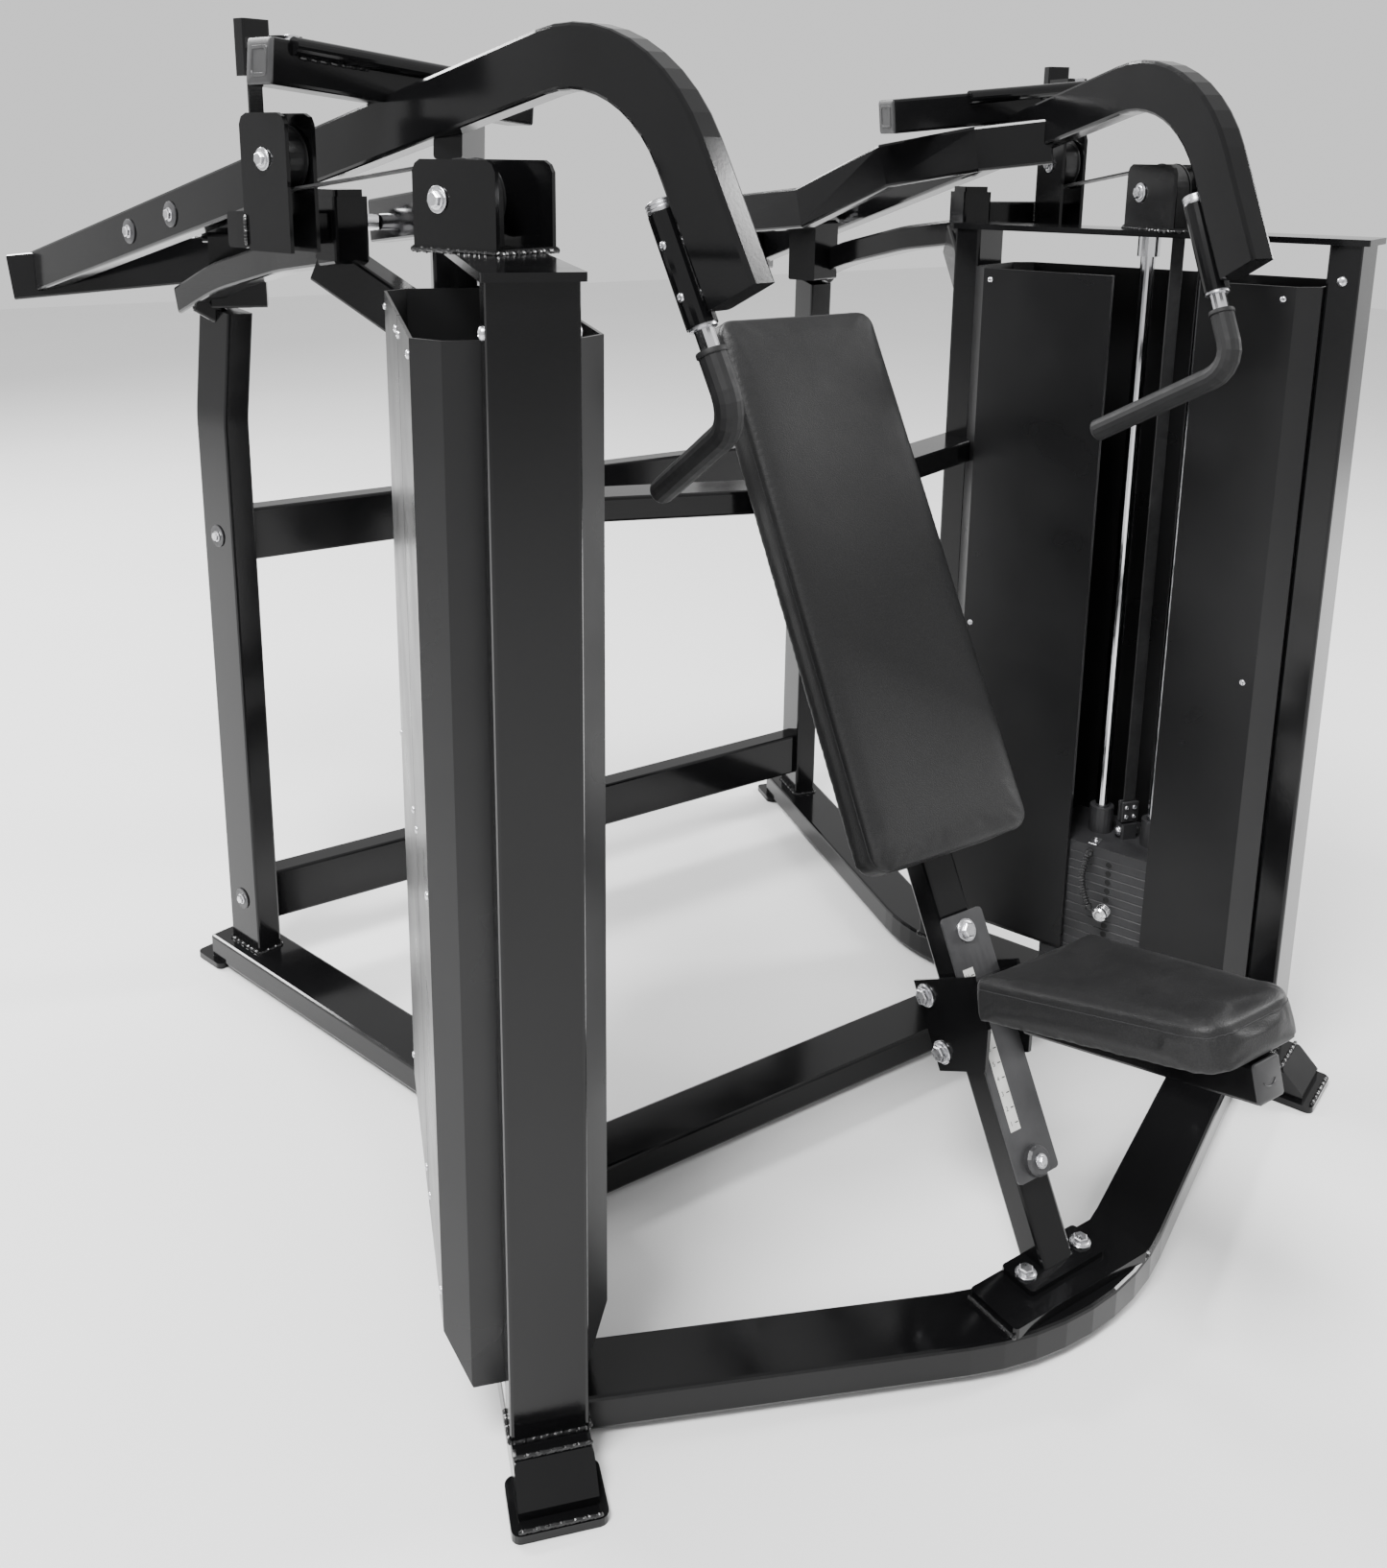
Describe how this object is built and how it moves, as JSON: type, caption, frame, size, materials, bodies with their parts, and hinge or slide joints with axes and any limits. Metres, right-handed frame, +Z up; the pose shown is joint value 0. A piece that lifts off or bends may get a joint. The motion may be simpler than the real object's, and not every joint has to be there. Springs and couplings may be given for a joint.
{
  "type": "converging chest press machine",
  "caption": "Plate-stack chest press with twin belt-driven arms that swing over a reclined back pad between two shrouded weight towers.",
  "frame": {"origin": "centre of the bounding box on the floor plane", "axes": "+Z up, -Y toward the front that the user faces, +X toward the user's left"},
  "size_m": [1.9106, 2.3724, 1.7945],
  "materials": {
    "frame": "gloss black paint",
    "shroud": "satin black",
    "chrome": "polished",
    "stack": "dark grey satin",
    "slide": "dark satin grey",
    "grip": "matte black",
    "cord": "black coiled cord",
    "pad": "black grained vinyl over foam",
    "belt": "black woven-core belt",
    "pulley": "black",
    "pin": "bright ridged knob on a steel pin"
  },
  "bodies": {
    "frame": {"front_rail": "frame", "floor_cross_tube": "frame", "lower_cross_tube": "frame", "upper_cross_tube": "frame", "seat_post": "frame", "slide_plate": "slide", "back_pad": "pad", "pad_brace": "frame", "right_tower_top_plate": "frame", "right_belt_bracket": "frame", "right_pivot_housing": "frame", "right_arm_rest_rail": "frame", "right_front_shroud": "shroud", "right_rear_shroud": "shroud", "right_front_upright": "frame", "right_tower_rear_post": "frame", "right_rear_upright": "frame", "right_side_rail": "frame", "right_guide_rods": "chrome", "right_resting_plates": "stack", "right_belt": "belt", "left_tower_top_plate": "frame", "left_belt_bracket": "frame", "left_pivot_housing": "frame", "left_arm_rest_rail": "frame", "left_front_shroud": "shroud", "left_rear_shroud": "shroud", "left_front_upright": "frame", "left_tower_rear_post": "frame", "left_rear_upright": "frame", "left_side_rail": "frame", "left_guide_rods": "chrome", "left_resting_plates": "stack", "left_belt": "belt"},
    "seat": {"seat_carriage": "frame", "seat_pad": "pad"},
    "right_arm": {"right_press_arm": "frame", "right_counterweight": "frame", "right_inner_link": "frame", "right_box_tube": "frame", "right_pivot_axle": "chrome"},
    "right_handle": {"right_handle_rod": "chrome", "right_handle_grip": "grip"},
    "right_stack": {"right_lifted_stack": "stack", "right_pin_cord": "cord"},
    "right_pin": {"right_selector_pin": "pin"},
    "right_top_wheel": {"right_top_pulley": "pulley"},
    "right_rear_wheel": {"right_rear_pulley": "pulley"},
    "left_arm": {"left_press_arm": "frame", "left_counterweight": "frame", "left_inner_link": "frame", "left_box_tube": "frame", "left_pivot_axle": "chrome"},
    "left_handle": {"left_handle_rod": "chrome", "left_handle_grip": "grip"},
    "left_stack": {"left_lifted_stack": "stack", "left_pin_cord": "cord"},
    "left_pin": {"left_selector_pin": "pin"},
    "left_top_wheel": {"left_top_pulley": "pulley"},
    "left_rear_wheel": {"left_rear_pulley": "pulley"}
  },
  "joints": [
    {"name": "seat_height", "type": "slide", "parent": "frame", "child": "seat", "axis": [0, 0.4939, 0.8695], "range_m": [-0.06, 0.1]},
    {"name": "right_press", "type": "hinge", "parent": "frame", "child": "right_arm", "pos_m": [-0.62, 0.5615, 1.495], "axis": [-0.9455, 0.3256, 0], "range_deg": [0, 40], "deforming": ["right_belt"]},
    {"name": "right_lift", "type": "slide", "parent": "frame", "child": "right_stack", "axis": [0, 0, 1], "range_m": [0, 0.42], "deforming": ["right_belt"]},
    {"name": "right_top_turn", "type": "hinge", "parent": "frame", "child": "right_top_wheel", "pos_m": [-0.6525, -0.4015, 1.567], "axis": [-0.9468, -0.3219, 0], "range_deg": [-600, 600]},
    {"name": "right_rear_turn", "type": "hinge", "parent": "frame", "child": "right_rear_wheel", "pos_m": [-0.7725, -0.0485, 1.61], "axis": [-0.9468, -0.3219, 0], "range_deg": [-600, 600]},
    {"name": "right_handle_swivel", "type": "hinge", "parent": "right_arm", "child": "right_handle", "pos_m": [-0.48913, -0.58976, 1.55394], "axis": [-0.1048, 0.4385, 0.8926], "range_deg": [-30, 30]},
    {"name": "right_pin_pull", "type": "slide", "parent": "right_stack", "child": "right_pin", "axis": [0.9455, -0.3256, 0], "range_m": [0, 0.06]},
    {"name": "left_press", "type": "hinge", "parent": "frame", "child": "left_arm", "pos_m": [0.62, 0.5615, 1.495], "axis": [-0.9455, -0.3256, 0], "range_deg": [0, 40], "deforming": ["left_belt"]},
    {"name": "left_lift", "type": "slide", "parent": "frame", "child": "left_stack", "axis": [0, 0, 1], "range_m": [0, 0.42], "deforming": ["left_belt"]},
    {"name": "left_top_turn", "type": "hinge", "parent": "frame", "child": "left_top_wheel", "pos_m": [0.6525, -0.4015, 1.567], "axis": [0.9468, -0.3219, 0], "range_deg": [-600, 600]},
    {"name": "left_rear_turn", "type": "hinge", "parent": "frame", "child": "left_rear_wheel", "pos_m": [0.7725, -0.0485, 1.61], "axis": [0.9468, -0.3219, 0], "range_deg": [-600, 600]},
    {"name": "left_handle_swivel", "type": "hinge", "parent": "left_arm", "child": "left_handle", "pos_m": [0.48913, -0.58976, 1.55394], "axis": [0.1048, 0.4385, 0.8926], "range_deg": [-30, 30]},
    {"name": "left_pin_pull", "type": "slide", "parent": "left_stack", "child": "left_pin", "axis": [-0.9455, -0.3256, 0], "range_m": [0, 0.06]}
  ],
  "couplings": [
    {"joint": "right_lift", "follows": "right_press", "m_per_rad": 0.57},
    {"joint": "right_top_turn", "follows": "right_press", "ratio": 12.667},
    {"joint": "right_rear_turn", "follows": "right_press", "ratio": -13.571},
    {"joint": "left_lift", "follows": "left_press", "m_per_rad": 0.57},
    {"joint": "left_top_turn", "follows": "left_press", "ratio": -12.667},
    {"joint": "left_rear_turn", "follows": "left_press", "ratio": 13.571}
  ]
}
